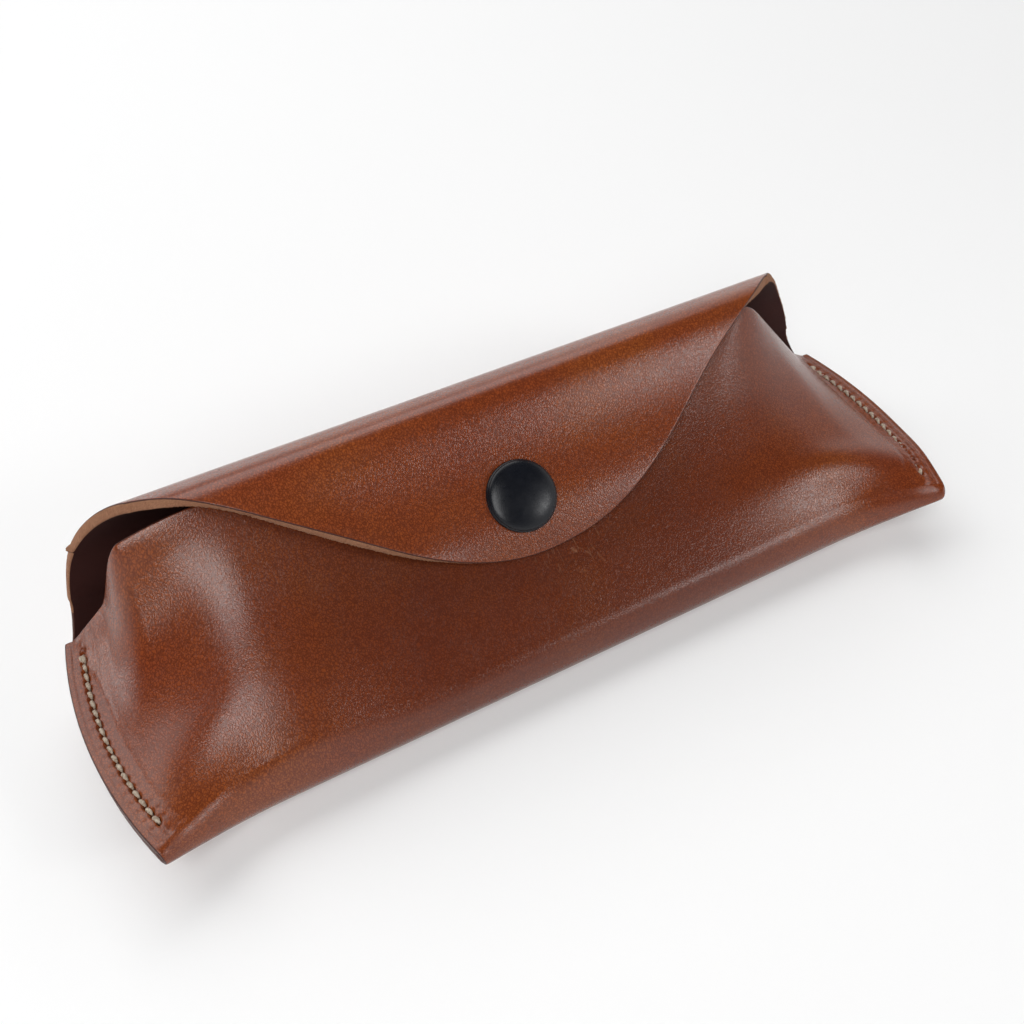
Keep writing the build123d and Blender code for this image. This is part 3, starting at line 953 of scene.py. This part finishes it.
def grain_material():
    """Waxed chestnut leather with a fine pebble grain."""
    material, tree, shader = node_material("leather_grain")
    place = flat_mm(tree)
    pebble = pebble_distance(tree, place)
    fine = noise(tree, place, FINE_SCALE, detail=3.0, roughness=0.6)
    broad = noise(tree, place, BROAD_SCALE, detail=4.0, roughness=0.55)
    patches = noise(tree, place, PATCH_SCALE, detail=4.0, roughness=0.6)
    scratches = scratch_web(tree, place)

    base = ramp(tree, broad, (0.32, HIDE_RED), (0.50, HIDE), (0.70, HIDE_AMBER))
    base = tinted(tree, base, HIDE_DARK, patches, PATCH_SHARE)
    # painted shade: the middle of the pouch and the flap towards its tip are darkened, the ends left
    # lighter
    base = tinted(tree, base, HIDE_DARK, *painted_shade_shares(tree, place))
    base = tinted(tree, base, HIDE_DARK, ramp(tree, pebble, (0.0, 1), (0.24, 0)), CREASE_SHARE)
    base = tinted(tree, base, HIDE_DARK, fine, FINE_SHARE)
    base = tinted(tree, base, HIDE_SCRATCHED, scratches, SCRATCH_SHARE)
    tree.links.new(base, shader.inputs["Base Color"])

    plump = ramp(tree, pebble, (0.0, 0), (0.30, 1))
    height = maths(tree, "ADD", plump, maths(tree, "MULTIPLY", fine, 0.9))
    height = maths(tree, "SUBTRACT", height, maths(tree, "MULTIPLY", scratches, 0.8))
    bump(tree, shader, height, strength=0.22, distance=0.00007)
    tree.links.new(ramp(tree, patches, (0.3, 0.22), (0.7, 0.28)), shader.inputs["Roughness"])
    shader.inputs["Specular IOR Level"].default_value = 0.42
    shader.inputs["Coat Weight"].default_value = 0.07
    shader.inputs["Coat Roughness"].default_value = 0.17
    return material


def edge_material(name, colours, roughness):
    """Cut leather, with fibres along the edge, from a light and a dark colour."""
    light, dark = colours
    material, tree, shader = node_material(name)
    place = flat_mm(tree)
    across = stretched(tree, place, (1.0, FIBRE_STRETCH, 1.0))
    fibre = noise(tree, across, FIBRE_SCALE, detail=5.0, roughness=0.7)
    patch = noise(tree, place, EDGE_PATCH_SCALE, detail=2.0)
    colour = tinted(tree, ramp(tree, fibre, (0.35, dark), (0.65, light)), dark, patch, 0.5)
    tree.links.new(colour, shader.inputs["Base Color"])
    bump(tree, shader, fibre, strength=0.6, distance=0.00020)
    shader.inputs["Roughness"].default_value = roughness
    shader.inputs["Specular IOR Level"].default_value = 0.25
    return material


def thread_material():
    """Cream waxed thread with darker plies."""
    material, tree, shader = node_material("waxed_thread")
    ply = noise(tree, object_place(tree), PLY_SCALE, detail=3.0, roughness=0.6)
    colour = ramp(tree, ply, (0.3, THREAD_DARK), (0.6, THREAD_LIGHT))
    tree.links.new(colour, shader.inputs["Base Color"])
    bump(tree, shader, ply, strength=0.5, distance=0.00008)
    shader.inputs["Roughness"].default_value = 0.6
    return material


def black_metal_material():
    """Black lacquered metal, a little uneven in colour and gloss."""
    material, tree, shader = node_material("black_lacquer")
    place = object_place(tree)
    speck = noise(tree, place, SPECK_SCALE, detail=4.0, roughness=0.6)
    cloud = noise(tree, place, CLOUD_SCALE, detail=2.0)
    colour = ramp(tree, cloud, (0.3, LACQUER_DARK), (0.7, LACQUER_LIGHT))
    tree.links.new(colour, shader.inputs["Base Color"])
    tree.links.new(ramp(tree, speck, (0.3, 0.27), (0.7, 0.35)), shader.inputs["Roughness"])
    bump(tree, shader, speck, strength=0.15, distance=0.00005)
    shader.inputs["Specular IOR Level"].default_value = 0.32
    return material


# Putting it together

GRAIN_LEATHER = grain_material()
BEVEL_LEATHER = edge_material("leather_bevel", BEVEL_COLOURS, roughness=0.42)
CUT_LEATHER = edge_material("leather_cut_edge", CUT_COLOURS, roughness=0.78)
BURNISHED_LEATHER = edge_material("leather_burnished_edge", BURNISHED_COLOURS, roughness=0.40)
FLESH_LEATHER = edge_material("leather_flesh_side", FLESH_COLOURS, roughness=0.80)
THREAD = thread_material()
BLACK_METAL = black_metal_material()


def dress_leather(piece, edge=CUT_LEATHER):
    """Gives a sheet its materials in the order of its faces' slots."""
    for material in (GRAIN_LEATHER, BEVEL_LEATHER, edge, FLESH_LEATHER):
        piece.data.materials.append(material)


pouch = make_pouch()
dress_leather(pouch, BURNISHED_LEATHER)
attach(pouch, "pouch")
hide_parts("pouch")

flap_rear = make_flap_rear()
dress_leather(flap_rear)
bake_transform(flap_rear)
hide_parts("flap_rear")

flap_front = make_flap_front()
dress_leather(flap_front)
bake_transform(flap_front)
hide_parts("flap_front")

for name, side in (("left_stitching", -1), ("right_stitching", 1)):
    stitches = make_stitching(f"{name}_thread", side)
    stitches.data.materials.append(THREAD)
    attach(stitches, "pouch")
    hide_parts(name)

cap = make_cap()
cap.data.materials.append(BLACK_METAL)
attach(cap, "flap_front")
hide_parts("snap_cap")

for name in ("snap_socket", "socket_spring", "snap_stud", "snap_post"):
    part = frame["nodes"][name]
    part.data.materials.clear()
    part.data.materials.append(BLACK_METAL)


# Floor, camera and light

# Floor, whose glow for the camera takes over with distance, in metres
FLOOR = 0.90
FLOOR_HALF = 3.0
FLOOR_GLOW = 0.95
GLOW_SHARE = 0.12
FADE_START = 0.25
FADE_REACH = 0.9

# Backdrop, which ends at a height that grows to the right
BACKDROP = 0.94
BACKDROP_TOP = (0.06, 0.36)
BACKDROP_RISE = 0.40
CEILING = 0.03

# Softboxes: direction from the case, distance in metres, half angles in degrees and radiance
LIT_PLACE = (0, 0, 0.02)
SOFTBOXES = (
    ("window", (-0.10, 0.64, 0.76), 0.95, (37, 21), 2.6),
    ("front_left", (-0.43, -0.54, 0.73), 0.78, (11, 19), 6.6),
    ("front_right", (0.574, -0.671, 0.470), 0.83, (8, 4.5), 11.0),
    ("left", (-0.84, 0.50, 0.20), 0.80, (7, 10), 3.5),
)


def seen_rays(tree, *kinds):
    """One where a ray is of any of these kinds."""
    path = node(tree, "ShaderNodeLightPath")
    seen = path.outputs[kinds[0]]
    for kind in kinds[1:]:
        seen = maths(tree, "MAXIMUM", seen, path.outputs[kind])
    return seen


def plain_floor():
    """Pale floor that fades into the backdrop and keeps the case's soft shadow."""
    half = FLOOR_HALF
    corners = [(-half, -half, 0), (half, -half, 0), (half, half, 0), (-half, half, 0)]
    mesh = bpy.data.meshes.new("floor")
    mesh.from_pydata(corners, [], [(0, 1, 2, 3)])
    floor = bpy.data.objects.new("floor", mesh)
    bpy.context.scene.collection.objects.link(floor)
    material, tree, shader = node_material("pale_floor")
    shader.inputs["Base Color"].default_value = (*grey(FLOOR), 1)
    shader.inputs["Roughness"].default_value = 0.9
    shader.inputs["Specular IOR Level"].default_value = 0.0
    glow = node(tree, "ShaderNodeEmission", Color=(*grey(FLOOR_GLOW), 1))
    away = node(tree, "ShaderNodeVectorMath", operation="LENGTH")
    tree.links.new(object_place(tree), away.inputs[0])
    faded = maths(tree, "DIVIDE", away.outputs["Value"], FADE_REACH)
    share = ramp(tree, faded, (FADE_START, GLOW_SHARE), (1.0, 1))
    seen = seen_rays(tree, "Is Camera Ray", "Is Glossy Ray", "Is Transmission Ray")
    mix = node(tree, "ShaderNodeMixShader")
    sources = maths(tree, "MULTIPLY", seen, share), shader.outputs[0], glow.outputs[0]
    for source, socket in zip(sources, mix.inputs):
        tree.links.new(source, socket)
    tree.links.new(mix.outputs[0], tree.nodes["Material Output"].inputs["Surface"])
    floor.data.materials.append(material)


def softbox(name, direction, distance, half_angles, radiance):
    """A square-on area light that covers a patch of the surroundings, as seen from the case."""
    width, height = (2 * distance * math.tan(math.radians(angle)) for angle in half_angles)
    data = bpy.data.lights.new(name, "AREA")
    data.shape = "RECTANGLE"
    data.size, data.size_y = width, height
    data.energy = radiance * math.pi * width * height
    light = bpy.data.objects.new(name, data)
    towards = Vector(direction).normalized()
    light.location = Vector(LIT_PLACE) + towards * distance
    light.rotation_mode = "QUATERNION"
    light.rotation_quaternion = towards.to_track_quat("Z", "Y")
    bpy.context.scene.collection.objects.link(light)


def studio_world():
    """Pale backdrop all round, higher on the right, under a dark ceiling that the camera doesn't see."""
    world = bpy.data.worlds.new("studio")
    world.use_nodes = True
    tree = world.node_tree
    towards = node(tree, "ShaderNodeSeparateXYZ")
    tree.links.new(node(tree, "ShaderNodeTexCoord").outputs["Generated"], towards.inputs[0])
    rise = maths(tree, "MULTIPLY", maths(tree, "MAXIMUM", towards.outputs["X"], 0.0), BACKDROP_RISE)
    height = maths(tree, "SUBTRACT", towards.outputs["Z"], rise)
    low, high = BACKDROP_TOP
    surroundings = ramp(tree, height, (low, BACKDROP), (high, CEILING))
    seen = seen_rays(tree, "Is Camera Ray", "Is Transmission Ray")
    colour = mixed(tree, seen, surroundings, grey(BACKDROP))
    tree.links.new(colour, tree.nodes["Background"].inputs["Color"])
    bpy.context.scene.world = world


def photo_camera():
    """Camera where the photograph was taken from."""
    data = bpy.data.cameras.new("camera")
    data.lens = CAMERA_LENS
    data.sensor_width = SENSOR
    data.clip_start = CLIP_START
    camera = bpy.data.objects.new("camera", data)
    turn = Matrix((CAMERA_RIGHT, CAMERA_UP, CAMERA_BACK)).transposed()
    camera.matrix_world = Matrix.Translation(CAMERA_AT) @ turn.to_4x4()
    bpy.context.scene.collection.objects.link(camera)
    bpy.context.scene.camera = camera


plain_floor()
studio_world()
for box in SOFTBOXES:
    softbox(*box)
photo_camera()
bpy.context.scene.view_settings.view_transform = "Standard"
